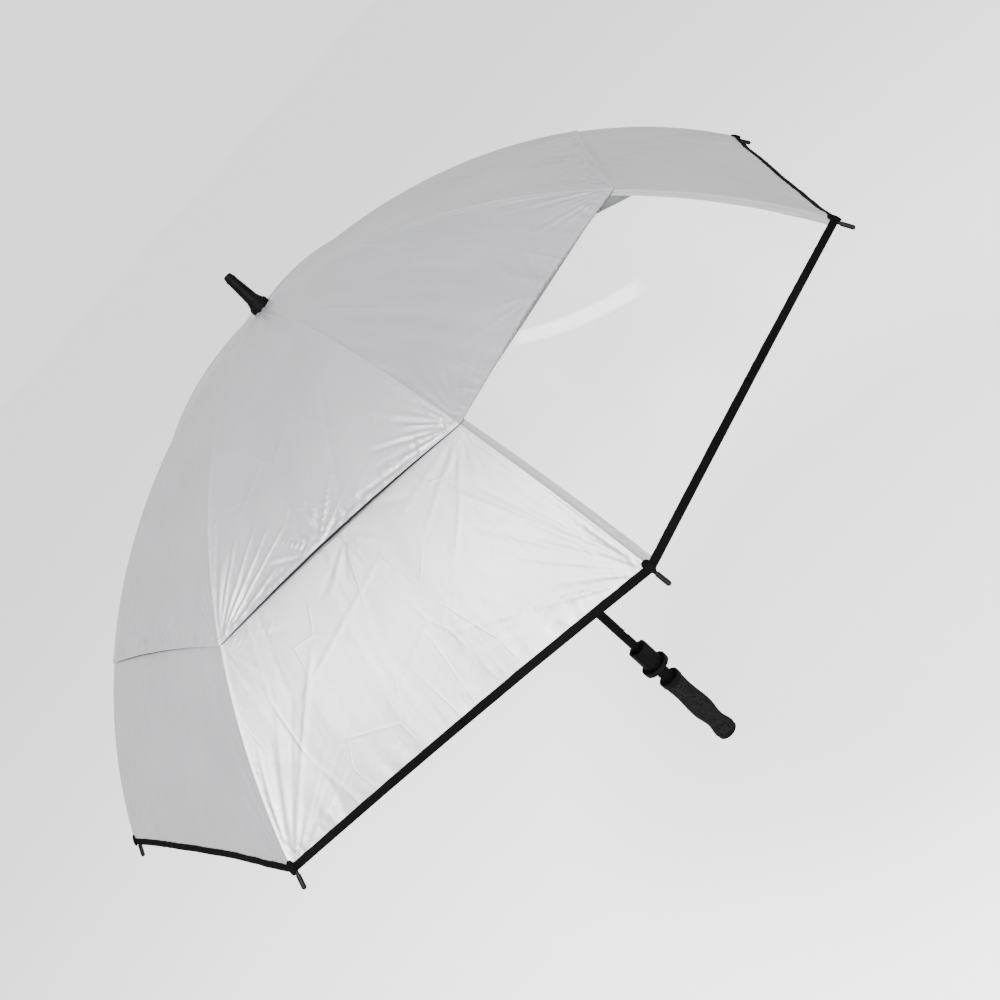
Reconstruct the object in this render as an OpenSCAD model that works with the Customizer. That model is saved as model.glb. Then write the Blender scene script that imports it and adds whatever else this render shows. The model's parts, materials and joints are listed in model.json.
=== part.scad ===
// Double-canopy golf umbrella, standing upright with its handle butt at the origin.
// +Z runs up the shaft towards the ferrule. Every rib, stretcher and canopy gore repeats
// around the shaft, one for each rib. All sizes are in millimetres.

/* [Canopy] */
// Radius from the shaft to the rib tips when open
tip_r = 640; // [635:1:645]
// Height of the open rib tips above the handle butt
tip_z = 605; // [603:1:607]
// Height of the canopy's outer surface at the shaft
apex_z = 946; // [945.8:0.1:946.2]
// Arc length along a rib from the shaft to the hem of the upper canopy
vent_arc = 503; // [495:1:510]
// How far the lower canopy reaches up under the upper one
vent_overlap = 72; // [60:1:80]
// Thickness of the coated fabric
fabric_t = 0.8; // [0.6:0.1:0.8]
// How far the middle of an upper gore is pulled in, half way down it
gore_sag = 3; // [1:0.5:5]
// How far the hem of the upper canopy billows out between two ribs
hem_lift = 4; // [2:0.5:6]
// How far the middle of that hem is drawn back along the gore
hem_scallop = 5; // [3:1:8]
// How far the middle of the lower rim is drawn back along the gore
rim_scallop = 3; // [1:1:6]

/* [Shaft and handle] */
// Outer radius of the shaft tube
shaft_r = 7; // [7:0.1:7.1]
// Wall of the shaft tube
shaft_wall = 1.2; // [1:0.1:1.4]
// Overall height from the handle butt to the ferrule end
total_h = 1006; // [1000:1:1012]
// Height of the fluted sleeve's mouth
seat_top = 213; // [212:0.5:213.5]
// Height of the top of the foam grip
grip_top = 136; // [134:1:138]
// Largest radius of the foam grip
grip_r = 17.6; // [16.6:0.2:18]
// Smallest radius of the foam grip
grip_waist_r = 14; // [13:0.5:15]

/* [Frame] */
// Radius of a fibreglass rib rod
rib_r = 2; // [1.8:0.1:2]
// Radius of a stretcher rod
strut_r = 1.7; // [1.5:0.1:1.8]
// Radius of the wire rings that hold the ribs and the stretchers
wire_r = 0.8; // [0.7:0.05:0.8]
// Distance of the rib hinges and the stretcher hinges from the shaft's axis
hinge_r = 12; // [12:0.1:12.2]
// Height of the rib hinges
hinge_z = 937.5; // [937:0.1:938]
// Arc length along a rib from the shaft to its stretcher joint
joint_arc = 360; // [356:1:364]
// Running clearance between a pin and its eye
pin_gap = 0.06; // [0.03:0.01:0.08]

/* [Hidden] */
RIBS = 8;
PITCH = 360 / RIBS;
NUMBERS = [for (i = [1:RIBS]) i];
function numbered(name) = [for (i = NUMBERS) str(name, "_", i)];
$fn = 48;

// The gore that holds the clear window
window_gore = 2;

// Every rib lies on a circle centred on the shaft's axis, through the apex and the tips
arc_z = (apex_z * apex_z - tip_z * tip_z - tip_r * tip_r) / (2 * (apex_z - tip_z));
arc_r = apex_z - arc_z;
function arc_angle(length) = length / arc_r * 180 / PI;
tip_angle = asin(tip_r / arc_r);
tip_arc = tip_angle * PI / 180 * arc_r;

// Fabric and rods lie in layers under the outer surface, each clear of the next
layer_gap = 0.6;
lower_fabric_r = arc_r - fabric_t - layer_gap;
rod_arc_r = lower_fabric_r - fabric_t - layer_gap - rib_r;
gore_gap = 0.25;

// How far the middle of a lower gore is pulled in, and how far its rim stops short of the tips
lower_sag = 2;
rim_inset = 3;

// A rib's plane holds its radius and its height: [r, z]
function on_arc(radius, angle) = [radius * sin(angle), arc_z + radius * cos(angle)];
rib_pivot = [hinge_r, hinge_z];
flex_angle = arc_angle(joint_arc);
flex_pivot = on_arc(rod_arc_r - 0.6, flex_angle);
strut_drop = 7;
strut_pivot = on_arc(rod_arc_r - strut_drop, flex_angle);

// The stretcher is as long as the rib's arm, so the runner stays in line with the hinges
arm = norm(strut_pivot - rib_pivot);
arm_angle = atan2(strut_pivot[0] - rib_pivot[0], rib_pivot[1] - strut_pivot[1]);
runner_z = hinge_z - 2 * arm * cos(arm_angle);
runner_pivot = [hinge_r, runner_z];

// Joint eyes and their forks
eye_r = 2.9;
eye_t = 2.4;
pin_r = 0.9;
eye_hole_r = pin_r + pin_gap;
fork_gap = eye_t + 0.3;
fork_w = fork_gap + 2.4;
slot_w = eye_t + 0.4;

// Notch at the top and crown of the runner
notch_r = 15;
notch_low = hinge_z - 5.5;
notch_top = hinge_z + 5.2;
crown_half = 5.2;
slot_r = 8.7;
fixed_gap = 0.02;
running_gap = 0.06;

// Straight part of one side of a wire ring, short of its bends
wire_side = 2 * hinge_r * tan(PITCH / 2) - 1.4;

// Runner sleeve
sleeve_r = 10.4;
sleeve_low = runner_z - 55;
sleeve_top = runner_z + 12;
catch_az = PITCH / 2;
catch_w = 3;
catch_h = 9;
catch_reach = 3.6;
catch_fit = 0.25;
window_low = runner_z - 17;
window_h = 10.6;

// Closed, the runner stands this far lower
closed_arm_angle = 3;
runner_travel = 2 * arm * (cos(closed_arm_angle) - cos(arm_angle));

// Handle stack, from the butt upwards
butt_h = 9;
butt_r = 16.5;
cup_low = grip_top - 5;
neck_low = grip_top + 2;
neck_r = 8.8;
flange_low = 168;
flange_r = 22;
seat_low = 176;
seat_r = 15.6;
seat_bore_r = 12;

// Ferrule stack
collar_top = apex_z + 12.3;
collar_r = 13.8;
spike_base_r = 8.9;
spike_end_r = 5.9;

module in_rib_plane(i) {
    rotate([0, 0, -PITCH * (i - 1)]) children();
}

// A cylinder across the rib's plane, centred on a point of it
module cross_pin(at, r, w) {
    translate([at[0], 0, at[1]])
        rotate([90, 0, 0])
            cylinder(r = r, h = w, center = true);
}

// A stretch of rod along a circle in the rib's plane, between two angles from the axis
module arc_rod(radius, from_angle, to_angle, r) {
    translate([0, 0, arc_z])
        rotate([90, 0, 0])
            rotate([0, 0, 90 - to_angle])
                rotate_extrude(angle = to_angle - from_angle, $fn = 200)
                    translate([radius, 0])
                        circle(r = r, $fn = 32);
}

// A straight bar of square section in the rib's plane, between two points of it
module flat_bar(from, to, w, h) {
    span = to - from;
    translate([from[0], 0, from[1]])
        rotate([0, -atan2(span[1], span[0]), 0])
            translate([0, -w / 2, -h / 2])
                cube([norm(span), w, h]);
}

module round_bar(from, to, r) {
    span = to - from;
    translate([from[0], 0, from[1]])
        rotate([0, 90 - atan2(span[1], span[0]), 0])
            cylinder(r = r, h = norm(span));
}

// The ring of wire as straight lengths, each one the pin of one hinge
module wire_ring(z) {
    for (i = NUMBERS)
        in_rib_plane(i)
            cross_pin([hinge_r, z], wire_r, wire_side - 0.1);
}

// Slots for the hinge eyes, open outwards, with the holes for the wire
module hinge_slots(z, low, high) {
    for (i = NUMBERS)
        in_rib_plane(i) {
            translate([slot_r, -slot_w / 2, low])
                cube([notch_r, slot_w, high - low]);
            cross_pin([hinge_r, z], wire_r + fixed_gap, wire_side);
        }
}

// A gore's surface. u runs across the gore, from 0 at one rib to 1 at the next
function bow(u) = 4 * u * (1 - u);

function drawn_back(arc, u, top, bottom, scallop) =
    arc - scallop * bow(u) * pow((arc - top) / (bottom - top), 2);

function upper_sag(share) = gore_sag * bow(share) - hem_lift * share * share;

function gore_point(radius, arc, u, sag) =
    let (
        p = on_arc(radius, arc_angle(arc)),
        pull = 1 - sag * bow(u) / arc_r,
        from = [p[0], -gore_gap],
        to = [
            p[0] * cos(PITCH) - gore_gap * sin(PITCH),
            -p[0] * sin(PITCH) + gore_gap * cos(PITCH)
        ],
        flat = from * (1 - u) + to * u
    )
    [flat[0] * pull, flat[1] * pull, arc_z + (p[1] - arc_z) * pull];

// A thin closed sheet from two grids of points, with walls around its four edges
module gore_sheet(radius, top, bottom, rows, columns, scallop, sags) {
    grid = [for (side = [0, 1], row = [0:rows], column = [0:columns])
        let (arc = top + (bottom - top) * row / rows, u = column / columns)
        gore_point(
            radius - side * fabric_t,
            drawn_back(arc, u, top, bottom, scallop),
            u,
            sags[row]
        )];
    wide = columns + 1;
    deep = (rows + 1) * wide;
    skin = [for (row = [0:rows - 1], column = [0:columns - 1])
        let (a = row * wide + column)
        each [
            [a, a + 1, a + wide + 1],
            [a, a + wide + 1, a + wide],
            [a + deep, a + wide + 1 + deep, a + 1 + deep],
            [a + deep, a + wide + deep, a + wide + 1 + deep]
        ]];
    edge = concat(
        [for (column = [0:columns - 1]) [column, column + 1]],
        [for (row = [0:rows - 1]) [row * wide + columns, (row + 1) * wide + columns]],
        [for (column = [columns:-1:1]) [rows * wide + column, rows * wide + column - 1]],
        [for (row = [rows:-1:1]) [row * wide, (row - 1) * wide]]
    );
    walls = [for (e = edge)
        each [[e[0], e[0] + deep, e[1] + deep], [e[0], e[1] + deep, e[1]]]];
    polyhedron(points = grid, faces = concat(skin, walls), convexity = 4);
}

module shaft_tube() {
    color("#1b1b1d")
        difference() {
            translate([0, 0, butt_h])
                cylinder(r = shaft_r, h = notch_top + 1 - butt_h);
            translate([0, 0, butt_h - 1])
                cylinder(r = shaft_r - shaft_wall, h = notch_top + 3 - butt_h);
            rotate([0, 0, -catch_az]) {
                translate([0, -catch_w / 2 - catch_fit, sleeve_low - 1.5 - catch_h - catch_fit])
                    cube([shaft_r + 2, catch_w + 2 * catch_fit, catch_h + 2 * catch_fit]);
                translate([0, -catch_w / 2 - catch_fit, window_low - runner_travel])
                    cube([shaft_r + 2, catch_w + 2 * catch_fit, catch_h + 2 * catch_fit]);
            }
        }
}

module ferrule_spike() {
    ring_low = total_h - 9;
    color("#101011")
        rotate_extrude()
            polygon([
                [0, notch_top + 1.2],
                [shaft_r - 0.2, notch_top + 1.2],
                [shaft_r - 0.2, collar_top],
                [spike_base_r + 1, collar_top],
                [spike_base_r + 1, collar_top + 3],
                [spike_base_r, collar_top + 4],
                [spike_end_r + 0.9, ring_low],
                [spike_end_r + 1.4, ring_low + 0.5],
                [spike_end_r + 1.4, ring_low + 2.5],
                [spike_end_r + 0.6, ring_low + 3],
                [spike_end_r, total_h - 1.6],
                [spike_end_r - 1.6, total_h],
                [0, total_h]
            ]);
}

module ferrule_collar() {
    color("#0d0d0e")
        rotate_extrude()
            polygon([
                [shaft_r, apex_z + 0.5],
                [collar_r - 0.8, apex_z + 0.5],
                [collar_r, apex_z + 1.3],
                [collar_r, apex_z + 6.5],
                [collar_r - 0.9, apex_z + 8.6],
                [collar_r - 2.6, apex_z + 10],
                [collar_r - 3, collar_top],
                [shaft_r, collar_top]
            ]);
}

// Disc of doubled fabric that seats the canopy's middle on the notch
module apex_washer() {
    color("#8d8f92")
        translate([0, 0, notch_top])
            difference() {
                cylinder(r = notch_r - 0.6, h = 1.2);
                translate([0, 0, -1])
                    cylinder(r = shaft_r + fixed_gap, h = 4);
            }
}

module top_notch() {
    color("#161617")
        difference() {
            translate([0, 0, notch_low])
                cylinder(r = notch_r, h = notch_top - notch_low);
            translate([0, 0, notch_low - 1])
                cylinder(r = shaft_r + fixed_gap, h = notch_top - notch_low + 2);
            hinge_slots(hinge_z, notch_low - 1, notch_top + 1);
        }
}

module notch_wire() {
    color("#b9bbbd") wire_ring(hinge_z);
}

// Sleeve that gathers the closed rib tips, with a flute for each rib
module tip_seat() {
    flute_r = 3.4;
    flute_at = 17.6;
    color("#121213")
        difference() {
            translate([0, 0, seat_low])
                cylinder(r = seat_r, h = seat_top - seat_low);
            translate([0, 0, seat_low - 1])
                cylinder(r = shaft_r + fixed_gap, h = seat_top - seat_low + 2);
            translate([0, 0, seat_low + 2])
                cylinder(r = seat_bore_r, h = seat_top - seat_low);
            for (i = NUMBERS)
                in_rib_plane(i)
                    translate([flute_at, 0, seat_low - 1])
                        cylinder(r = flute_r, h = seat_top - seat_low + 2, $fn = 32);
        }
}

module tip_cup() {
    rim_h = 3;
    color("#121213")
        difference() {
            translate([0, 0, flange_low])
                cylinder(r = flange_r, h = seat_low - flange_low);
            translate([0, 0, flange_low - 1])
                cylinder(r = shaft_r + fixed_gap, h = seat_low);
            translate([0, 0, seat_low - rim_h])
                difference() {
                    cylinder(r = flange_r - 1.4, h = rim_h + 1);
                    translate([0, 0, -1])
                        cylinder(r = seat_r - 2, h = rim_h + 3);
                }
        }
}

module threaded_neck() {
    ring_pitch = 5.2;
    rings = 5;
    color("#151516")
        difference() {
            union() {
                translate([0, 0, neck_low + fixed_gap])
                    cylinder(r = neck_r, h = flange_low - neck_low - 2 * fixed_gap);
                for (k = [0:rings - 1])
                    translate([0, 0, neck_low + 3.5 + ring_pitch * k])
                        rotate_extrude()
                            polygon([
                                [neck_r - 1, 0],
                                [neck_r + 1.3, 0.9],
                                [neck_r + 1.3, 2],
                                [neck_r - 1, 2.9]
                            ]);
            }
            translate([0, 0, neck_low - 1])
                cylinder(r = shaft_r + fixed_gap, h = flange_low - neck_low + 2);
        }
}

// Cup over the top of the grip, open upwards around the neck
module grip_cup() {
    color("#121213")
        rotate_extrude()
            polygon([
                [shaft_r + fixed_gap, grip_top + fixed_gap],
                [grip_r - 3.5, grip_top + fixed_gap],
                [grip_r - 3.5, cup_low + fixed_gap],
                [grip_r - 1, cup_low + fixed_gap],
                [grip_r, cup_low + 1.2],
                [grip_r, neck_low + 3],
                [grip_r - 1, neck_low + 4],
                [grip_r - 3, neck_low + 4],
                [grip_r - 3.6, neck_low + 3],
                [grip_r - 4.4, neck_low],
                [shaft_r + fixed_gap, neck_low]
            ]);
}

// The foam grip's radius at stations along it, from the flared end to the cup
GRIP_STATIONS = [
    [0, grip_r - 0.3],
    [0.19, grip_waist_r],
    [0.46, grip_r],
    [0.82, grip_r - 2.2],
    [1, grip_r - 1.3]
];

// A smooth run between the two stations on either side of t
function grip_wave(t) =
    let (
        k = len([for (s = GRIP_STATIONS) if (s[0] <= t) s]) - 1,
        from = GRIP_STATIONS[min(k, len(GRIP_STATIONS) - 2)],
        to = GRIP_STATIONS[min(k, len(GRIP_STATIONS) - 2) + 1],
        share = (1 - cos(180 * (t - from[0]) / (to[0] - from[0]))) / 2
    )
    from[1] + (to[1] - from[1]) * share;

module foam_grip() {
    steps = 40;
    socket_r = grip_r - 3.6;
    profile = [for (k = [0:steps])
        let (t = k / steps)
        if (butt_h + (cup_low - butt_h) * t < cup_low + 0.1)
            [grip_wave(t), butt_h + (cup_low - butt_h) * t]];
    color("#2b2b2d")
        rotate_extrude()
            polygon(concat(
                [[shaft_r + fixed_gap, butt_h]],
                profile,
                [[socket_r, cup_low], [socket_r, grip_top], [shaft_r + fixed_gap, grip_top]]
            ));
}

module butt_cap() {
    color("#0f0f10")
        rotate_extrude()
            polygon(concat(
                [[0, 0]],
                [for (a = [0:15:90]) [butt_r - 3 + 3 * sin(a), 3 - 3 * cos(a)]],
                [[butt_r, butt_h], [0, butt_h]]
            ));
}

// Sprung catch: a leaf inside the tube with a nose that stands out through its window
module catch_piece(low) {
    leaf_h = 30;
    color("#c4c6c8")
        rotate([0, 0, -catch_az]) {
            translate([shaft_r - shaft_wall - 1.6, -catch_w / 2, low - leaf_h])
                cube([1, catch_w, leaf_h + catch_h]);
            translate([0, catch_w / 2, low])
                rotate([90, 0, 0])
                    linear_extrude(height = catch_w)
                        polygon([
                            [shaft_r - shaft_wall - 1.2, 0],
                            [shaft_r - 0.6, 0],
                            [shaft_r + catch_reach - 0.6, catch_h - 2],
                            [shaft_r + catch_reach - 0.6, catch_h],
                            [shaft_r - shaft_wall - 1.2, catch_h]
                        ]);
        }
}

module top_catch() {
    catch_piece(sleeve_low - 1.5 - catch_h);
}

module lower_catch() {
    catch_piece(window_low - runner_travel + catch_fit);
}

module runner() {
    color("#161617")
        difference() {
            union() {
                translate([0, 0, sleeve_low])
                    cylinder(r = sleeve_r, h = sleeve_top - sleeve_low);
                translate([0, 0, runner_z - crown_half])
                    cylinder(r = notch_r, h = 2 * crown_half);
                translate([0, 0, sleeve_low])
                    cylinder(r = sleeve_r + 1, h = 3);
            }
            translate([0, 0, sleeve_low - 1])
                cylinder(r = shaft_r + running_gap, h = sleeve_top - sleeve_low + 2);
            hinge_slots(runner_z, runner_z - crown_half - 1, runner_z + crown_half + 1);
            for (i = NUMBERS)
                in_rib_plane(i)
                    translate([slot_r, -slot_w / 2, runner_z])
                        cube([notch_r, slot_w, sleeve_top - runner_z + 1]);
            rotate([0, 0, -catch_az])
                translate([0, -catch_w / 2 - 0.5, window_low - 0.5])
                    cube([sleeve_r + 3, catch_w + 1, window_h]);
        }
}

module runner_wire() {
    color("#b9bbbd") wire_ring(runner_z);
}

// Inner length of a rib: hinge eye, rod, and the fork that holds the outer rod and the strut
module rib_inner(i) {
    start_angle = arc_angle(hinge_r + 9);
    end_angle = flex_angle - arc_angle(9);
    color("#141415")
        in_rib_plane(i) {
            difference() {
                union() {
                    cross_pin(rib_pivot, eye_r, eye_t);
                    flat_bar(rib_pivot, on_arc(rod_arc_r - 2, start_angle + 0.5), eye_t, 3.2);
                }
                cross_pin(rib_pivot, wire_r + pin_gap, eye_t + 1);
            }
            arc_rod(rod_arc_r, start_angle, end_angle, rib_r);
            difference() {
                union() {
                    flat_bar(
                        on_arc(rod_arc_r - 3.4, flex_angle - arc_angle(20)),
                        on_arc(rod_arc_r - 3.4, flex_angle + arc_angle(0.5)),
                        fork_w - 0.4,
                        7
                    );
                    cross_pin(flex_pivot, 2.6, fork_w);
                    cross_pin(strut_pivot, 2.6, fork_w);
                }
                flat_bar(
                    on_arc(rod_arc_r - 4, flex_angle - arc_angle(4.4)),
                    on_arc(rod_arc_r - 4, flex_angle + arc_angle(8)),
                    fork_gap,
                    20
                );
                cross_pin(flex_pivot, pin_r + fixed_gap, 12);
                cross_pin(strut_pivot, pin_r + fixed_gap, 12);
            }
            for (at = [flex_pivot, strut_pivot])
                cross_pin(at, pin_r, fork_w + 0.6);
        }
}

// Outer length of a rib, out to the cap that carries the corner of the canopy
module rib_outer(i) {
    cap_arc = arc_angle(15);
    cap_r = 2.7;
    rod_start = flex_angle + arc_angle(7);
    color("#141415")
        in_rib_plane(i) {
            difference() {
                union() {
                    cross_pin(flex_pivot, 2.5, eye_t);
                    flat_bar(
                        flex_pivot,
                        on_arc(rod_arc_r - 0.3, rod_start + 0.3),
                        eye_t,
                        3
                    );
                }
                cross_pin(flex_pivot, eye_hole_r, eye_t + 1);
            }
            arc_rod(rod_arc_r, rod_start, tip_angle + arc_angle(1), rib_r);
            arc_rod(rod_arc_r - 0.2, tip_angle + arc_angle(1), tip_angle + cap_arc, cap_r);
            translate([0, 0, arc_z])
                rotate([0, tip_angle + cap_arc, 0])
                    translate([0, 0, rod_arc_r - 0.2])
                        sphere(r = cap_r - 0.01, $fn = 32);
        }
}

// Strut from the rib's joint down to the runner
module stretcher(i) {
    toward = (strut_pivot - runner_pivot) / norm(strut_pivot - runner_pivot);
    color("#1c1c1e")
        in_rib_plane(i) {
            difference() {
                union() {
                    cross_pin(strut_pivot, eye_r - 0.2, eye_t);
                    flat_bar(strut_pivot - toward * 12, strut_pivot - toward, eye_t, 3.4);
                }
                cross_pin(strut_pivot, eye_hole_r, eye_t + 1);
            }
            round_bar(runner_pivot + toward * 11, strut_pivot - toward * 11, strut_r);
            difference() {
                union() {
                    cross_pin(runner_pivot, eye_r, eye_t);
                    flat_bar(runner_pivot + toward, runner_pivot + toward * 12, eye_t, 3.4);
                }
                cross_pin(runner_pivot, wire_r + pin_gap, eye_t + 1);
            }
        }
}

// One gore of the upper canopy, from the collar to the vent's hem
module canopy_upper(i) {
    inner_arc = 15.6;
    rows = 14;
    sags = [for (row = [0:rows]) upper_sag(row / rows)];
    color("#c9cacc")
        in_rib_plane(i)
            gore_sheet(arc_r, inner_arc, vent_arc, rows, 6, hem_scallop, sags);
}

// One gore of the lower canopy, from inside the vent to the bound rim
module canopy_lower(i) {
    rows = 10;
    top = vent_arc - vent_overlap;
    sags = [for (row = [0:rows]) lower_sag];
    color(i == window_gore ? "#eef2f5" : "#c9cacc")
        in_rib_plane(i)
            gore_sheet(lower_fabric_r, top, tip_arc - rim_inset, rows, 6, rim_scallop, sags);
}

shaft_tube();
ferrule_spike();
ferrule_collar();
apex_washer();
top_notch();
notch_wire();
tip_seat();
tip_cup();
threaded_neck();
grip_cup();
foam_grip();
butt_cap();
top_catch();
lower_catch();
runner();
runner_wire();
for (i = NUMBERS) {
    rib_inner(i);
    rib_outer(i);
    stretcher(i);
    canopy_upper(i);
    canopy_lower(i);
}
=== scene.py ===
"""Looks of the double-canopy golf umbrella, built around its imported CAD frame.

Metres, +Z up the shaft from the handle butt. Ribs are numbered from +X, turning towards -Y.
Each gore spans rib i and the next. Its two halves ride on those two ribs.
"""
import json
import math
import random

import bmesh
import bpy
import numpy as np
from mathutils import Matrix, Vector


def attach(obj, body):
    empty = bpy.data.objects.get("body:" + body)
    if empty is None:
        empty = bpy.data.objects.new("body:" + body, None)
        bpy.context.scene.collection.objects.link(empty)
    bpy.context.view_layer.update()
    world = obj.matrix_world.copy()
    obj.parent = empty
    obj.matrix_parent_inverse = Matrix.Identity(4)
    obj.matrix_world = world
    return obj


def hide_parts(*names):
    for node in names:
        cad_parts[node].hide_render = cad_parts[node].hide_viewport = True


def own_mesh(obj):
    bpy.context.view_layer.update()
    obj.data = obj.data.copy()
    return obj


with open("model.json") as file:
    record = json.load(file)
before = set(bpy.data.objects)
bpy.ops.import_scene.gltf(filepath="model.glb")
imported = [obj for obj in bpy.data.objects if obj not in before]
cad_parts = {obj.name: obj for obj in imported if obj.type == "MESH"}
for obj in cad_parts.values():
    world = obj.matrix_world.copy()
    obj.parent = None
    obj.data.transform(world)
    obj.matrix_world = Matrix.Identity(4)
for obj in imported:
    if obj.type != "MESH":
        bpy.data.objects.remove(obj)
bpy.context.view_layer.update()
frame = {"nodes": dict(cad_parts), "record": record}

RIBS = 8
PITCH = 2 * math.pi / RIBS
WINDOW_GORE = 2

# ---------------------------------------------------------------- driving sizes, as in the CAD
TIP_R = 0.640
TIP_Z = 0.605
APEX_Z = 0.946
VENT_ARC = 0.503
LOWER_TOP_ARC = 0.431
SPLIT_ARC = 0.360
START_ARC = 0.0125
GORE_SAG = 0.003
HEM_LIFT = 0.004
HEM_SCALLOP = 0.005
LOWER_SAG = 0.002
RIM_INSET = 0.003
RIM_SCALLOP = dict.fromkeys(range(1, RIBS + 1), 0.003) | {1: 0.001, WINDOW_GORE: 0.001}
LAYER_STEP = 0.0014
CLOTH = 0.0005
HEM_W = 0.008
CUT_STEP = 0.9

# Grid steps of the cloth
CROWN_ROWS = 84
SKIRT_ROWS = 60
LOWER_ROWS = 100
UPPER_COLUMNS = 54
LOWER_COLUMNS = 66
EDGE_COLUMNS = 9
TOP_ROWS = 18

ARC_Z = (APEX_Z**2 - TIP_Z**2 - TIP_R**2) / (2 * (APEX_Z - TIP_Z))
ARC_R = APEX_Z - ARC_Z
TIP_ARC = math.asin(TIP_R / ARC_R) * ARC_R

# ---------------------------------------------------------------- camera, light and floor
CAMERA_AT = (-0.172, -1.721, 1.173)
CAMERA_YAW = math.radians(6.52)
CAMERA_PITCH = math.radians(-20.42)
CAMERA_ROLL = math.radians(47.5)
CAMERA_LENS = 47.8


def make_camera():
    data = bpy.data.cameras.new("camera")
    data.lens = CAMERA_LENS
    data.sensor_width = 36
    data.clip_end = 100
    camera = bpy.data.objects.new("camera", data)
    bpy.context.scene.collection.objects.link(camera)
    turn = Matrix.Rotation(-CAMERA_YAW, 4, "Z") @ Matrix.Rotation(math.pi / 2 + CAMERA_PITCH, 4, "X")
    turn = turn @ Matrix.Rotation(-CAMERA_ROLL, 4, "Z")
    camera.matrix_world = Matrix.Translation(CAMERA_AT) @ turn
    bpy.context.scene.camera = camera


def area_light(name, at, aim, size, watts):
    data = bpy.data.lights.new(name, "AREA")
    data.shape = "DISK"
    data.size = size
    data.energy = watts
    light = bpy.data.objects.new(name, data)
    bpy.context.scene.collection.objects.link(light)
    light.location = at
    light.rotation_euler = (Vector(aim) - Vector(at)).to_track_quat("-Z", "Y").to_euler()


def make_studio():
    world = bpy.data.worlds.new("studio")
    world.use_nodes = True
    background = world.node_tree.nodes["Background"]
    background.inputs["Color"].default_value = (1, 1, 1, 1)
    background.inputs["Strength"].default_value = 1.7
    bpy.context.scene.world = world
    area_light("key", (-0.5, -3.55, 1.8), (0, 0, 0.7), 1.2, 640)
    area_light("overhead", (-1.45, -1.75, 3.1), (-0.2, -0.3, 0.8), 1.0, 230)
    bpy.ops.mesh.primitive_circle_add(vertices=96, radius=40, fill_type="NGON", location=(0, 0, -0.6))
    floor = bpy.context.object
    floor.name = "floor"
    floor.data.materials.append(plain_material("floor", (0.95, 0.95, 0.95), 0.9))


# ---------------------------------------------------------------- node helpers
def new_material(name):
    material = bpy.data.materials.new(name)
    material.use_nodes = True
    nodes = material.node_tree.nodes
    return material, nodes, material.node_tree.links, nodes["Principled BSDF"]


def plain_material(name, colour, roughness):
    material, _, _, shader = new_material(name)
    shader.inputs["Base Color"].default_value = (*colour, 1)
    shader.inputs["Roughness"].default_value = roughness
    return material


def add(nodes, kind, **inputs):
    """A node with its input sockets set by name. A leading underscore sets a property instead."""
    node = nodes.new(kind)
    for key, value in inputs.items():
        if key.startswith("_"):
            setattr(node, key[1:], value)
        else:
            node.inputs[key.replace("_", " ")].default_value = value
    return node


def stretched(nodes, links, scale, source="UV"):
    """The surface's own coordinates, scaled along each of them."""
    where = nodes.new("ShaderNodeTexCoord")
    mapping = add(nodes, "ShaderNodeMapping", Scale=scale)
    links.new(where.outputs[source], mapping.inputs["Vector"])
    return mapping.outputs["Vector"]


def noise(nodes, links, vector, scale, detail=3, roughness=0.5):
    node = add(nodes, "ShaderNodeTexNoise", Scale=scale, Detail=detail, Roughness=roughness)
    links.new(vector, node.inputs["Vector"])
    return node.outputs["Fac"]


def ramp(nodes, links, factor, stops):
    """Grey or colour stops along a factor."""
    node = nodes.new("ShaderNodeValToRGB")
    elements = node.color_ramp.elements
    while len(elements) < len(stops):
        elements.new(0.5)
    for element, (place, value) in zip(elements, stops):
        element.position = place
        colour = value if isinstance(value, tuple) else (value, value, value)
        element.color = (*colour, 1)
    links.new(factor, node.inputs["Fac"])
    return node.outputs["Color"]


def bump(nodes, links, height, distance, strength=1.0, after=None):
    node = add(nodes, "ShaderNodeBump", Strength=strength, Distance=distance)
    links.new(height, node.inputs["Height"])
    if after is not None:
        links.new(after, node.inputs["Normal"])
    return node.outputs["Normal"]


def arithmetic(nodes, links, operation, *values):
    """One sum on sockets or plain numbers."""
    node = add(nodes, "ShaderNodeMath", _operation=operation)
    for place, value in enumerate(values):
        if isinstance(value, float):
            node.inputs[place].default_value = value
        else:
            links.new(value, node.inputs[place])
    return node.outputs[0]


def distance_from(nodes, links, uv, centre):
    away = add(nodes, "ShaderNodeVectorMath", _operation="DISTANCE")
    links.new(uv, away.inputs[0])
    away.inputs[1].default_value = centre
    return away.outputs["Value"]


def weave(nodes, links, vector, scale):
    """Height of a plain weave: two sets of threads crossing."""
    bands = []
    for direction in ("X", "Y"):
        node = add(nodes, "ShaderNodeTexWave", Scale=scale, Distortion=0.6, Detail=1.0)
        node.bands_direction = direction
        links.new(vector, node.inputs["Vector"])
        bands.append(node.outputs["Fac"])
    return arithmetic(nodes, links, "MAXIMUM", *bands)


def crease_lines(nodes, links, uv, scale):
    """Straight sharp creases that meet in a loose net and fade in and out."""
    lines = add(nodes, "ShaderNodeTexVoronoi", Scale=1.0, _feature="DISTANCE_TO_EDGE")
    links.new(stretched(nodes, links, scale), lines.inputs["Vector"])
    sharp = ramp(nodes, links, lines.outputs["Distance"], [(0.0, 1.0), (0.022, 0.0)])
    fade = ramp(nodes, links, noise(nodes, links, uv, scale[0], 2), [(0.42, 0.0), (0.62, 1.0)])
    return arithmetic(nodes, links, "MULTIPLY", sharp, fade)


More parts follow.
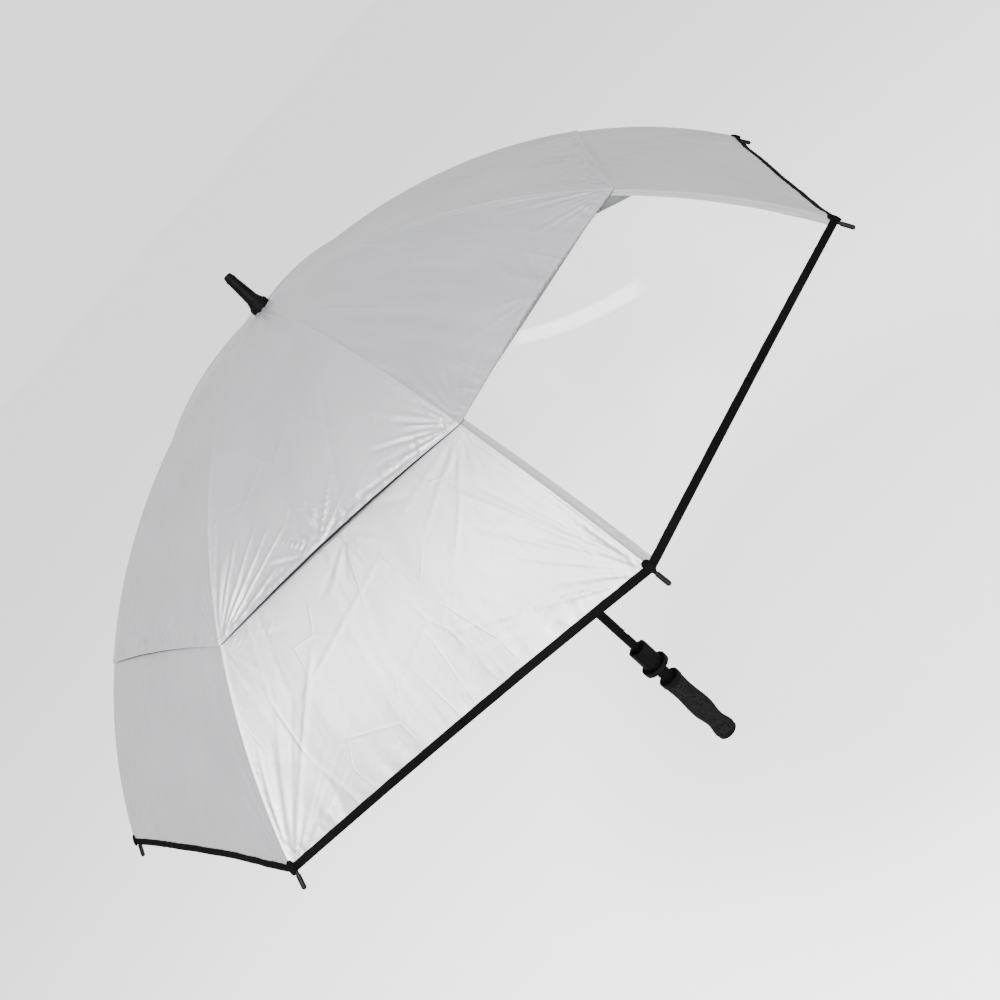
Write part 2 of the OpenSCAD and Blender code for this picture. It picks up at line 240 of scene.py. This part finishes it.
def cloth_material(name, colour, deep, roughness, metallic, specular, crease):
    """Coated woven cloth: fine weave, long soft pulls along the gore, and faint packing creases."""
    material, nodes, links, shader = new_material(name)
    uv = stretched(nodes, links, (1, 1, 1))
    tone = noise(nodes, links, uv, 9, 4)
    links.new(ramp(nodes, links, tone, [(0.3, deep), (0.7, colour)]), shader.inputs["Base Color"])
    grain = noise(nodes, links, uv, 900, 2)
    links.new(
        ramp(nodes, links, grain, [(0.3, roughness - 0.06), (0.7, roughness + 0.08)]),
        shader.inputs["Roughness"],
    )
    shader.inputs["Metallic"].default_value = metallic
    shader.inputs["Specular IOR Level"].default_value = specular
    pulls = noise(nodes, links, stretched(nodes, links, (26, 3.2, 1)), 1.0, 5, 0.55)
    first = bump(nodes, links, pulls, 0.0012 * crease)
    normal = first
    for scale, depth in (((7, 3.4, 1), 0.0005), ((15, 8, 1), 0.00022)):
        folds = crease_lines(nodes, links, uv, scale)
        normal = bump(nodes, links, folds, depth * crease, after=normal)
    satin = noise(nodes, links, stretched(nodes, links, (900, 260, 1)), 1.0, 3, 0.6)
    normal = bump(nodes, links, satin, 0.00012 * crease, after=normal)
    normal = bump(nodes, links, weave(nodes, links, uv, 420), 0.00006, after=normal)
    links.new(normal, shader.inputs["Normal"])
    return material


def moulded_material(name, colour, roughness, grain_scale, depth, specular):
    """Moulded or painted black surface: fine grain, slight colour change and handling marks."""
    material, nodes, links, shader = new_material(name)
    place = stretched(nodes, links, (1, 1, 1), "Object")
    tone = noise(nodes, links, place, 60, 4)
    light = tuple(c * 1.6 for c in colour)
    links.new(ramp(nodes, links, tone, [(0.35, colour), (0.75, light)]), shader.inputs["Base Color"])
    marks = noise(nodes, links, place, 240, 5, 0.6)
    links.new(
        ramp(nodes, links, marks, [(0.3, roughness - 0.07), (0.75, roughness + 0.1)]),
        shader.inputs["Roughness"],
    )
    shader.inputs["Specular IOR Level"].default_value = specular
    height = noise(nodes, links, place, grain_scale, 2)
    links.new(bump(nodes, links, height, depth), shader.inputs["Normal"])
    return material


def foam_material():
    """Closed-cell foam: pores, grey speckle and worn lighter patches."""
    material, nodes, links, shader = new_material("eva_foam")
    place = stretched(nodes, links, (1, 1, 1), "Object")
    cells = add(nodes, "ShaderNodeTexVoronoi", Scale=900)
    links.new(place, cells.inputs["Vector"])
    speckle = noise(nodes, links, place, 520, 4, 0.7)
    stops = [(0.42, (0.0004, 0.0004, 0.0004)), (0.62, (0.0080, 0.0080, 0.0083))]
    links.new(ramp(nodes, links, speckle, stops), shader.inputs["Base Color"])
    shader.inputs["Roughness"].default_value = 0.92
    shader.inputs["Specular IOR Level"].default_value = 0.03
    pits = bump(nodes, links, cells.outputs["Distance"], 0.0006)
    links.new(bump(nodes, links, speckle, 0.0004, after=pits), shader.inputs["Normal"])
    return material


def wire_material():
    material, nodes, links, shader = new_material("steel_wire")
    place = stretched(nodes, links, (1, 1, 1), "Object")
    shader.inputs["Base Color"].default_value = (0.56, 0.57, 0.58, 1)
    shader.inputs["Metallic"].default_value = 1.0
    scratches = noise(nodes, links, place, 700, 4)
    links.new(ramp(nodes, links, scratches, [(0.3, 0.22), (0.7, 0.42)]), shader.inputs["Roughness"])
    links.new(bump(nodes, links, scratches, 0.00008), shader.inputs["Normal"])
    return material


# The clear sheet's painted highlight along one crease is part of a ring, placed on the sheet's own cut
# in metres
CREASE_HIGHLIGHT_CENTRE = (1.635, 0.346, 0)
CREASE_HIGHLIGHT_RADIUS = 0.269
CREASE_HIGHLIGHT_MIDDLE = (1.806, 0.552, 0)


def clear_material():
    """Clear flexible sheet: see-through, softly rippled, with a faint haze and one crease drawn as a
    painted highlight, a pale grey band in its alpha.
    """
    material, nodes, links, shader = new_material("clear_pvc")
    uv = stretched(nodes, links, (1, 1, 1))
    shader.inputs["Base Color"].default_value = (0.62, 0.64, 0.66, 1)
    haze = noise(nodes, links, uv, 7, 4)
    thin = ramp(nodes, links, haze, [(0.4, 0.02), (0.8, 0.07)])
    # Painted highlight: a pale, partly opaque band along one crease stands in for light reflected off
    # the fold.
    off_ring = arithmetic(
        nodes, links, "SUBTRACT", distance_from(nodes, links, uv, CREASE_HIGHLIGHT_CENTRE), CREASE_HIGHLIGHT_RADIUS
    )
    off_crease_highlight = arithmetic(nodes, links, "ABSOLUTE", off_ring)
    band = ramp(nodes, links, off_crease_highlight, [(0.0, 0.20), (0.0048, 0.26), (0.0062, 0.55), (0.0085, 0.0)])
    along = distance_from(nodes, links, uv, CREASE_HIGHLIGHT_MIDDLE)
    ends = ramp(nodes, links, along, [(0.066, 1.0), (0.086, 0.0)])
    fold = arithmetic(nodes, links, "MULTIPLY", band, ends)
    links.new(arithmetic(nodes, links, "ADD", thin, fold), shader.inputs["Alpha"])
    links.new(ramp(nodes, links, haze, [(0.3, 0.05), (0.8, 0.16)]), shader.inputs["Roughness"])
    ripples = noise(nodes, links, stretched(nodes, links, (10, 4, 1)), 1.0, 1)
    links.new(bump(nodes, links, ripples, 0.0015), shader.inputs["Normal"])
    return material


MATERIALS = {
    "silver": cloth_material(
        "silver_cloth", (0.250, 0.251, 0.263), (0.225, 0.226, 0.237), 0.36, 0.65, 0.5, 1.0
    ),
    "lining": cloth_material(
        "black_lining", (0.007, 0.007, 0.0075), (0.004, 0.004, 0.0045), 0.7, 0.0, 0.08, 1.0
    ),
    "binding": cloth_material(
        "black_binding", (0.0016, 0.0016, 0.0017), (0.0008, 0.0008, 0.0009), 0.85, 0.0, 0.01, 0.4
    ),
    "clear": clear_material(),
    "plastic": moulded_material("black_plastic", (0.0012, 0.0012, 0.0013), 0.5, 1500, 0.00008, 0.015),
    "shaft": moulded_material("black_shaft", (0.0008, 0.0008, 0.0009), 0.4, 900, 0.00004, 0.012),
    "rod": moulded_material("fibreglass", (0.002, 0.002, 0.0021), 0.36, 1200, 0.00004, 0.03),
    "foam": foam_material(),
    "wire": wire_material(),
}


# ---------------------------------------------------------------- the canopy's surface
def bow(u):
    return 4 * u * (1 - u)


def half_chord(arc):
    """Half the width of a gore at an arc length from the shaft."""
    return ARC_R * np.sin(arc / ARC_R) * math.sin(PITCH / 2)


def gore_point(gore, radius, arc, u, sag):
    """Points of a gore at arc lengths from the shaft, u from 0 at its rib to 1 at the next."""
    angle = arc / ARC_R
    flat_r = radius * np.sin(angle)
    rise = radius * np.cos(angle)
    pull = 1 - sag * bow(u) / ARC_R
    start = -(gore - 1) * PITCH
    end = start - PITCH
    x = (math.cos(start) * (1 - u) + math.cos(end) * u) * flat_r * pull
    y = (math.sin(start) * (1 - u) + math.sin(end) * u) * flat_r * pull
    return np.stack([x, y, ARC_Z + rise * pull], -1)


def normals_of(points):
    across = np.gradient(points, axis=1)
    along = np.gradient(points, axis=0)
    n = np.cross(across, along)
    return n / (np.linalg.norm(n, axis=-1, keepdims=True) + 1e-12)


def value_noise(x, y, seed):
    """Smooth repeatable noise in two directions, from -1 to 1."""
    def corner(i, j):
        h = np.sin(i * 127.1 + j * 311.7 + seed * 74.7) * 43758.5453
        return 2 * (h - np.floor(h)) - 1

    i, j = np.floor(x), np.floor(y)
    a, b = x - i, y - j
    a, b = a * a * (3 - 2 * a), b * b * (3 - 2 * b)
    low = corner(i, j) * (1 - a) + corner(i + 1, j) * a
    high = corner(i, j + 1) * (1 - a) + corner(i + 1, j + 1) * a
    return low * (1 - b) + high * b


def crease(across, arc, start, heading, length, width, height):
    """A fold line from a start point, tapering at both ends. Heading 0 runs down the gore."""
    dx, dy = math.sin(heading), math.cos(heading)
    x, y = across - start[0], arc - start[1]
    t = (x * dx + y * dy) / length
    off = x * dy - y * dx
    taper = np.clip(t * (1 - t) * 4, 0, 1) ** 0.6
    return height * np.exp(-((off / width) ** 2)) * taper


def fan(dice, across, arc, centre, low, high, count, lengths, widths, heights):
    """Folds that spread from one point, between two headings."""
    total = 0
    for k in range(count):
        heading = low + (high - low) * (k + dice.uniform(0.2, 0.8)) / count
        gap = dice.uniform(0.003, 0.012)
        start = (centre[0] + gap * math.sin(heading), centre[1] + gap * math.cos(heading))
        height = dice.uniform(*heights) * (1 if k % 2 else -0.8)
        total = total + crease(
            across, arc, start, heading, dice.uniform(*lengths), dice.uniform(*widths), height
        )
    return total


def row_of_puckers(dice, across, arc, edge, step, lengths, heights):
    """Short folds that run up from a sewn edge, all along it."""
    total = 0
    reach = float(half_chord(edge)) - 0.006
    place = -reach
    while place < reach:
        place += dice.uniform(0.5, 1.5) * step
        turn = math.pi + dice.uniform(-0.35, 0.35)
        height = dice.uniform(*heights) * dice.choice((1, 1, -1))
        length = dice.uniform(*lengths)
        total = total + crease(
            across, arc, (place, edge), turn, length, dice.uniform(0.0013, 0.0026), height
        )
    return total


def seam_puckers(dice, off_rib, arc, top, bottom, step):
    """Short slanting folds beside a rib's seam."""
    total = 0
    place = top
    while place < bottom:
        place += dice.uniform(0.5, 1.6) * step
        turn = dice.uniform(0.5, 1.2)
        length = dice.uniform(0.008, 0.018)
        total = total + crease(
            off_rib, arc, (0.001, place), turn, length, 0.0016, dice.uniform(0.0002, 0.0005)
        )
    return total


def packing_creases(dice, across, arc, top, bottom, count, height):
    """Straight faint creases left by folding."""
    total = 0
    for _ in range(count):
        start = (dice.uniform(-0.12, 0.12), dice.uniform(top, bottom - 0.05))
        turn = dice.choice((-1, 1)) * dice.uniform(0.15, 1.25)
        size = dice.choice((-1, 1)) * dice.uniform(0.5, 1.0) * height
        total = total + crease(
            across, arc, start, turn, dice.uniform(0.09, 0.24), dice.uniform(0.0014, 0.003), size
        )
    return total


def long_creases(dice, u, arc, count, height):
    """Faint creases that run the length of the gore and close in towards the shaft."""
    total = 0
    for _ in range(count):
        place = dice.uniform(0.12, 0.88)
        lean = dice.uniform(-0.1, 0.1)
        off = (u - place - lean * (arc - 0.4)) * 2 * half_chord(arc)
        size = dice.choice((-1, 1)) * dice.uniform(0.5, 1.0) * height
        total = total + size * np.exp(-((off / 0.0018) ** 2))
    return total


def corner_fan(dice, across, arc, side, edge, headings, count, lengths, widths, heights):
    """A fan of folds from one end of an edge. Side -1 is the rib's end, and 1 is the next one's."""
    low, high = (-side * math.pi * share for share in headings)
    centre = (side * float(half_chord(edge)), edge)
    return fan(dice, across, arc, centre, low, high, count, lengths, widths, heights)


def upper_wrinkles(gore, arc, u):
    dice = random.Random(gore * 11 + 1)
    across = (u - 0.5) * 2 * half_chord(arc)
    off_rib = half_chord(arc) - np.abs(across)
    h = 0.0016 * value_noise(across / 0.08, arc / 0.26, gore + 3.0) * np.clip(off_rib / 0.05, 0, 1)
    h += 0.0007 * value_noise(across / 0.018, arc / 0.12, gore + 5.0)
    for side in (-1, 1):
        h += corner_fan(
            dice, across, arc, side, VENT_ARC, (0.53, 0.97), 16,
            (0.03, 0.15), (0.0014, 0.0032), (0.0004, 0.0012),
        )
    tie = (dice.uniform(-0.03, 0.03), VENT_ARC)
    h += fan(
        dice, across, arc, tie, math.pi * 0.62, math.pi * 1.38, 15,
        (0.025, 0.11), (0.0013, 0.0030), (0.0005, 0.0014),
    )
    h += row_of_puckers(dice, across, arc, VENT_ARC + 0.002, 0.007, (0.012, 0.032), (0.0005, 0.0013))
    h += seam_puckers(dice, off_rib, arc, 0.06, VENT_ARC, 0.012)
    h += packing_creases(dice, across, arc, 0.12, VENT_ARC, 5, 0.0006)
    h += long_creases(dice, u, arc, 5, 0.0005)
    pleats = value_noise(u * 9, arc * 0 + gore, 5)
    h += 0.0011 * pleats * np.exp(-arc / 0.035)
    return h * np.clip((VENT_ARC - arc) / 0.010, 0.2, 1)


def lower_wrinkles(gore, arc, u):
    dice = random.Random(gore * 17 + 2)
    across = (u - 0.5) * 2 * half_chord(arc)
    off_rib = half_chord(arc) - np.abs(across)
    h = 0.0014 * value_noise(across / 0.09, arc / 0.22, gore + 13.0) * np.clip(off_rib / 0.05, 0, 1)
    h += 0.0004 * value_noise(across / 0.022, arc / 0.15, gore + 15.0)
    for side in (-1, 1):
        h += corner_fan(
            dice, across, arc, side, TIP_ARC, (0.58, 0.985), 12,
            (0.06, 0.24), (0.0016, 0.0040), (0.0004, 0.0011),
        )
        h += corner_fan(
            dice, across, arc, side, VENT_ARC, (0.02, 0.42), 8,
            (0.04, 0.15), (0.0014, 0.0030), (0.0002, 0.0006),
        )
    tie = (dice.uniform(-0.03, 0.03), VENT_ARC)
    h += fan(dice, across, arc, tie, -1.1, 1.1, 9, (0.04, 0.12), (0.0014, 0.0032), (0.0003, 0.0009))
    h += row_of_puckers(dice, across, arc, TIP_ARC - 0.010, 0.010, (0.012, 0.03), (0.0003, 0.0008))
    h += seam_puckers(dice, off_rib, arc, VENT_ARC, TIP_ARC, 0.012)
    h += packing_creases(dice, across, arc, VENT_ARC - 0.05, TIP_ARC - 0.03, 10, 0.0006)
    h += long_creases(dice, u, arc, 7, 0.0006)
    under = np.clip((arc - VENT_ARC + 0.03) / 0.035, 0.12, 1)
    return h * under


def seam_ridge(arc, u):
    """The sewn seam over a rib, felled to one side."""
    off = half_chord(arc) * (1 - np.abs(u - 0.5) * 2)
    ridge = 0.0010 * np.exp(-((off / 0.0020) ** 2))
    felled = np.where(u < 0.5, 1.0, 0.0) * 0.0005 / (1 + np.exp((off - 0.0075) / 0.0005))
    return ridge + felled * np.clip(off / 0.0015, 0, 1)


def spread(count, dense):
    """Steps from 0 to 1, closer together near 0."""
    t = np.linspace(0, 1, count)
    return t + dense * (t * t - t)


def quads_of(rows, columns, offset=0):
    r, c = np.meshgrid(np.arange(rows - 1), np.arange(columns - 1), indexing="ij")
    a = (r * columns + c).ravel() + offset
    return np.stack([a, a + 1, a + columns + 1, a + columns], 1)


def link_mesh(name, points, quads, slots, uv, normals, materials):
    """A mesh object from arrays, with its own smooth normals where they are given."""
    mesh = bpy.data.meshes.new(name)
    mesh.vertices.add(len(points))
    mesh.vertices.foreach_set("co", points.astype(np.float32).ravel())
    mesh.loops.add(quads.size)
    mesh.loops.foreach_set("vertex_index", quads.astype(np.int32).ravel())
    mesh.polygons.add(len(quads))
    mesh.polygons.foreach_set("loop_start", np.arange(0, quads.size, 4, dtype=np.int32))
    for material in materials:
        mesh.materials.append(material)
    mesh.polygons.foreach_set("material_index", slots.astype(np.int32))
    layer = mesh.uv_layers.new(name="cut")
    layer.data.foreach_set("uv", uv[quads.ravel()].astype(np.float32).ravel())
    mesh.update(calc_edges=True)
    mesh.validate()
    mesh.shade_smooth()
    if normals is not None:
        mesh.normals_split_custom_set_from_vertices(normals.tolist())
    obj = bpy.data.objects.new(name, mesh)
    bpy.context.scene.collection.objects.link(obj)
    return obj


def cloth_piece(name, outer, inner, normals, uv, materials, dark_hem_and_gap_shade=False):
    """A thin closed cloth from two grids of points: its outside, its inside and its edges."""
    rows, columns = outer.shape[:2]
    count = rows * columns
    face = quads_of(rows, columns)
    back = quads_of(rows, columns, count)[:, ::-1]
    ring = list(range(columns))
    ring += [r * columns + columns - 1 for r in range(1, rows)]
    ring += [(rows - 1) * columns + c for c in range(columns - 2, -1, -1)]
    ring += [r * columns for r in range(rows - 2, 0, -1)]
    a = np.array(ring)
    b = np.roll(a, -1)
    wall = np.stack([b, a, a + count, b + count], 1)
    wall_slot = np.zeros(len(a))
    # The bottom edge's faces take the black lining: partly the lining's own colour, partly painted
    # shade standing in for the dark gap under the upper hem.
    if dark_hem_and_gap_shade:
        wall_slot[columns + rows - 2 : 2 * columns + rows - 3] = 1
    quads = np.concatenate([face, back, wall])
    slots = np.concatenate([np.zeros(len(face)), np.ones(len(back)), wall_slot])
    points = np.concatenate([outer.reshape(-1, 3), inner.reshape(-1, 3)])
    flat = normals.reshape(-1, 3)
    cut = np.concatenate([uv.reshape(-1, 2)] * 2)
    return link_mesh(name, points, quads, slots, cut, np.concatenate([flat, -flat]), materials)


def rib_frame(rib):
    """Outward and sideways directions of a rib's plane."""
    angle = -(rib - 1) * PITCH
    return Vector((math.cos(angle), math.sin(angle), 0)), Vector((-math.sin(angle), math.cos(angle), 0))


def rib_point(rib, arc):
    outward, _ = rib_frame(rib)
    angle = arc / ARC_R
    return outward * (ARC_R * math.sin(angle)) + Vector((0, 0, ARC_Z + ARC_R * math.cos(angle)))


# How each band of cloth gathers as the frame closes: the share of its width kept, its lean
# outwards, its drop along the rib, how far its rib turns, and where along the rib it is measured
GATHER = {
    "crown": (0.18, math.radians(16), 0.04, math.radians(72.6), 0.24),
    "skirt": (0.08, math.radians(24), 0.08, math.radians(50.6), 0.43),
    "lower": (0.08, math.radians(17), 0.04, math.radians(50.6), 0.60),
}


def ride_rib(obj, gore, second, band):
    """Sends a half gore's piece to its rib's body, as its own mesh."""
    keep, lean, drop, turn, arc = GATHER[band]
    rib = gore % RIBS + 1 if second else gore
    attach(obj, f"rib_{rib}" if band == "crown" else f"rib_end_{rib}")
    outward, sideways = rib_frame(rib)
    away = sideways * (1 if second else -1)
    lift = outward * math.cos(turn) + Vector((0, 0, math.sin(turn)))
    along = outward * math.sin(turn) - Vector((0, 0, math.cos(turn)))
    axis = away * math.cos(lean) - lift * math.sin(lean) + along * drop
    axis.normalize()
    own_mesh(obj)


def shared_normals(gore, arc, u, off_rib, normals):
    """Leans the surface's normals into the rib's plane at a seam, so that two gores meet there."""
    azimuth = -(gore - 1 + (u > 0.5)) * PITCH
    angle = arc / ARC_R
    flat = np.sin(angle)
    plane = np.stack([np.cos(azimuth) * flat, np.sin(azimuth) * flat, np.cos(angle)], -1)
    share = np.clip(1 - off_rib / 0.006, 0, 1)[..., None]
    mixed = normals * (1 - share) + plane * share
    return mixed / np.linalg.norm(mixed, axis=-1, keepdims=True)


def gore_grid(gore, arcs, half_columns, upper):
    """Outer points, inner points, normals and cut of a whole gore of one canopy."""
    half = spread(half_columns, 0.72) / 2
    u = np.concatenate([half, 1 - half[-2::-1]])
    arc, u = np.meshgrid(arcs, u, indexing="ij")
    share = (arc - arcs[0]) / (arcs[-1] - arcs[0])
    scallop = HEM_SCALLOP if upper else RIM_SCALLOP[gore]
    arc = arc - scallop * bow(u) * share**2
    if upper:
        sag = GORE_SAG * bow(share) - HEM_LIFT * share**2
        radius = ARC_R
        lift = upper_wrinkles(gore, arc, u)
    else:
        sag = LOWER_SAG + 0 * share
        radius = ARC_R - LAYER_STEP
        lift = lower_wrinkles(gore, arc, u)
        if gore == WINDOW_GORE:
            lift *= 0.5
    off_rib = half_chord(arc) * (1 - np.abs(u - 0.5) * 2)
    lift = lift * np.clip(off_rib / 0.006, 0, 1) + seam_ridge(arc, u)
    smooth = gore_point(gore, radius, arc, u, sag)
    base = shared_normals(gore, arc, u, off_rib, normals_of(smooth))
    outer = smooth + base * lift[..., None]
    thick = np.full(arc.shape, CLOTH)
    if upper:
        # The hem's fold adds thickness, most at the middle of the gore, so its black edge faces show as
        # a wide dark line: partly the lining's colour, partly painted shade for the gap under the hem.
        fold = 1 - 1 / (1 + np.exp((HEM_W - (arcs[-1] - arc - scallop * bow(u))) / 0.0004))
        outer += base * (0.0005 * fold)[..., None]
        thick += (0.0003 + 0.0038 * bow(u)) * fold
    normals = normals_of(outer)
    cut = np.stack([(u - 0.5) * 2 * half_chord(arc) + gore * CUT_STEP, arc], -1)
    return outer, outer - base * thick[..., None], normals, cut


def half_of(grids, second, rows):
    """One half of a gore's grids, over a range of rows."""
    middle = grids[0].shape[1] // 2
    columns = slice(middle, None) if second else slice(None, middle + 1)
    return [g[rows, columns] for g in grids]


def add_half(gore, second, band, grids, rows):
    outer, inner, normals, cut = half_of(grids, second, rows)
    clear = band == "lower" and gore == WINDOW_GORE
    name = f"{'window' if clear else 'canopy'}_{band}_{gore}{'b' if second else 'a'}"
    if clear:
        materials = [MATERIALS["clear"], MATERIALS["clear"]]
    else:
        materials = [MATERIALS["silver"], MATERIALS["lining"]]
    # Upper hems outside the window gore get black edge faces, partly painted shade for the gap beneath
    # them.
    dark_hem_and_gap_shade = band == "skirt" and gore != WINDOW_GORE
    obj = cloth_piece(name, outer, inner, normals, cut, materials, dark_hem_and_gap_shade)
    ride_rib(obj, gore, second, band)
    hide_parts(f"canopy_lower_{gore}" if band == "lower" else f"canopy_upper_{gore}")


def add_window_edges(second, grids):
    """Cloth strips that frame the clear sheet along its rib and its upper edge."""
    outer, inner, normals, cut = half_of(grids, second, slice(None))
    columns = outer.shape[1]
    side = slice(columns - EDGE_COLUMNS, None) if second else slice(None, EDGE_COLUMNS)
    rest = slice(None, columns - EDGE_COLUMNS + 1) if second else slice(EDGE_COLUMNS - 1, None)
    letter = "b" if second else "a"
    strips = [("side", slice(None), side), ("top", slice(None, TOP_ROWS), rest)]
    for label, rows, across in strips:
        face = outer[rows, across] + normals[rows, across] * 0.0002
        back = inner[rows, across] - normals[rows, across] * 0.0002
        name = f"window_edge_{label}_{letter}"
        materials = [MATERIALS["silver"], MATERIALS["lining"]]
        obj = cloth_piece(name, face, back, normals[rows, across], cut[rows, across], materials)
        ride_rib(obj, WINDOW_GORE, second, "lower")


def make_canopy():
    upper_arcs = np.concatenate([
        START_ARC + (SPLIT_ARC - START_ARC) * np.linspace(0, 1, CROWN_ROWS),
        VENT_ARC - (VENT_ARC - SPLIT_ARC) * spread(SKIRT_ROWS, 0.5)[-2::-1],
    ])
    bottom = TIP_ARC - RIM_INSET
    lower_arcs = bottom - (bottom - LOWER_TOP_ARC) * spread(LOWER_ROWS, 0.25)[::-1]
    for gore in range(1, RIBS + 1):
        upper = gore_grid(gore, upper_arcs, UPPER_COLUMNS, True)
        lower = gore_grid(gore, lower_arcs, LOWER_COLUMNS, False)
        for second in (False, True):
            add_half(gore, second, "crown", upper, slice(None, CROWN_ROWS))
            add_half(gore, second, "skirt", upper, slice(CROWN_ROWS - 1, None))
            add_half(gore, second, "lower", lower, slice(None))
            add_binding(gore, second, half_of(lower, second, slice(None)))
            if gore == WINDOW_GORE:
                add_window_edges(second, lower)


# ---------------------------------------------------------------- rim binding and tip pockets
BINDING_W = 0.0080
BINDING_T = 0.0008
POCKET_L = 0.0085
POCKET_W = 0.0050
POCKET_T = 0.0026


def add_binding(gore, second, grids):
    """Tape folded over the rim's edge, as a closed band that wraps both faces."""
    outer, inner, normals, _ = grids
    edge, face = outer[-1], normals[-1]
    inward = outer[-4] - edge
    inward /= np.linalg.norm(inward, axis=-1, keepdims=True)
    section = [
        (BINDING_W, 0.0),
        (BINDING_W, BINDING_T * 0.9),
        (BINDING_W - 0.0008, BINDING_T),
        (BINDING_W * 0.5, BINDING_T * 1.3),
        (0.0014, BINDING_T * 1.2),
        (-0.0006, BINDING_T * 0.6),
        (-0.0012, -CLOTH / 2),
        (-0.0006, -CLOTH - BINDING_T * 0.6),
        (0.0014, -CLOTH - BINDING_T * 1.2),
        (BINDING_W * 0.5, -CLOTH - BINDING_T * 1.3),
        (BINDING_W, -CLOTH - BINDING_T),
        (BINDING_W, -CLOTH),
    ]
    rings = np.stack([edge + inward * a + face * b for a, b in section], 1)
    steps = np.arange(len(edge))
    wobble = value_noise(steps / 2.0, steps * 0.0, gore + 2.0)
    rings[:, 1:5] += (inward * (0.0003 * wobble)[:, None])[:, None, :]
    count, sides = rings.shape[:2]
    a = (np.arange(count - 1)[:, None] * sides + np.arange(sides)[None, :]).ravel()
    b = (np.arange(count - 1)[:, None] * sides + (np.arange(sides)[None, :] + 1) % sides).ravel()
    tube = np.stack([b, a, a + sides, b + sides], 1)
    last = (count - 1) * sides
    caps = []
    for k in range(sides // 2 - 1):
        caps.append((k, sides - 1 - k, sides - 2 - k, k + 1))
        caps.append((last + k + 1, last + sides - 2 - k, last + sides - 1 - k, last + k))
    quads = np.concatenate([tube, np.array(caps)])
    if second:
        quads = quads[:, ::-1]
    where = np.stack(np.meshgrid(steps * 0.004, np.arange(sides) * 0.0015, indexing="ij"), -1)
    name = f"rim_binding_{gore}{'b' if second else 'a'}"
    materials = [MATERIALS["binding"]]
    points = rings.reshape(-1, 3)
    obj = link_mesh(name, points, quads, np.zeros(len(quads)), where.reshape(-1, 2), None, materials)
    face_outwards(obj.data)
    ride_rib(obj, gore, second, "lower")


def face_outwards(mesh):
    shape = bmesh.new()
    shape.from_mesh(mesh)
    bmesh.ops.recalc_face_normals(shape, faces=shape.faces)
    shape.to_mesh(mesh)
    shape.free()


def add_pocket(rib):
    """Small sewn pocket where the binding turns round a rib's tip."""
    shape = bmesh.new()
    bmesh.ops.create_uvsphere(shape, u_segments=20, v_segments=12, radius=1)
    mesh = bpy.data.meshes.new(f"tip_pocket_{rib}")
    for vert in shape.verts:
        x, y, z = vert.co
        vert.co = Vector((x * POCKET_L, y * POCKET_W * (1 - 0.25 * x), z * POCKET_T))
    shape.to_mesh(mesh)
    shape.free()
    mesh.shade_smooth()
    mesh.materials.append(MATERIALS["binding"])
    obj = bpy.data.objects.new(f"tip_pocket_{rib}", mesh)
    bpy.context.scene.collection.objects.link(obj)
    arc = TIP_ARC - 0.008
    angle = arc / ARC_R
    outward, sideways = rib_frame(rib)
    down = outward * math.cos(angle) - Vector((0, 0, math.sin(angle)))
    lift = outward * math.sin(angle) + Vector((0, 0, math.cos(angle)))
    at = rib_point(rib, arc) - lift * 0.0008
    mesh.transform(Matrix((
        (down.x, sideways.x, lift.x, at.x),
        (down.y, sideways.y, lift.y, at.y),
        (down.z, sideways.z, lift.z, at.z),
        (0, 0, 0, 1),
    )))
    face_outwards(mesh)
    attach(obj, f"rib_end_{rib}")


# ---------------------------------------------------------------- CAD nodes keep their shape
def dress_cad():
    by_slot = {
        "black_plastic": "plastic",
        "black_shaft": "shaft",
        "fibreglass": "rod",
        "eva_foam": "foam",
        "steel_wire": "wire",
        "silver_fabric": "silver",
    }
    for part in frame["record"]["subparts"]:
        wanted = by_slot.get(part["material_slot"])
        node = frame["nodes"][part["node"]]
        if wanted:
            node.data.materials.clear()
            node.data.materials.append(MATERIALS[wanted])


make_camera()
make_studio()
dress_cad()
make_canopy()
for number in range(1, RIBS + 1):
    add_pocket(number)
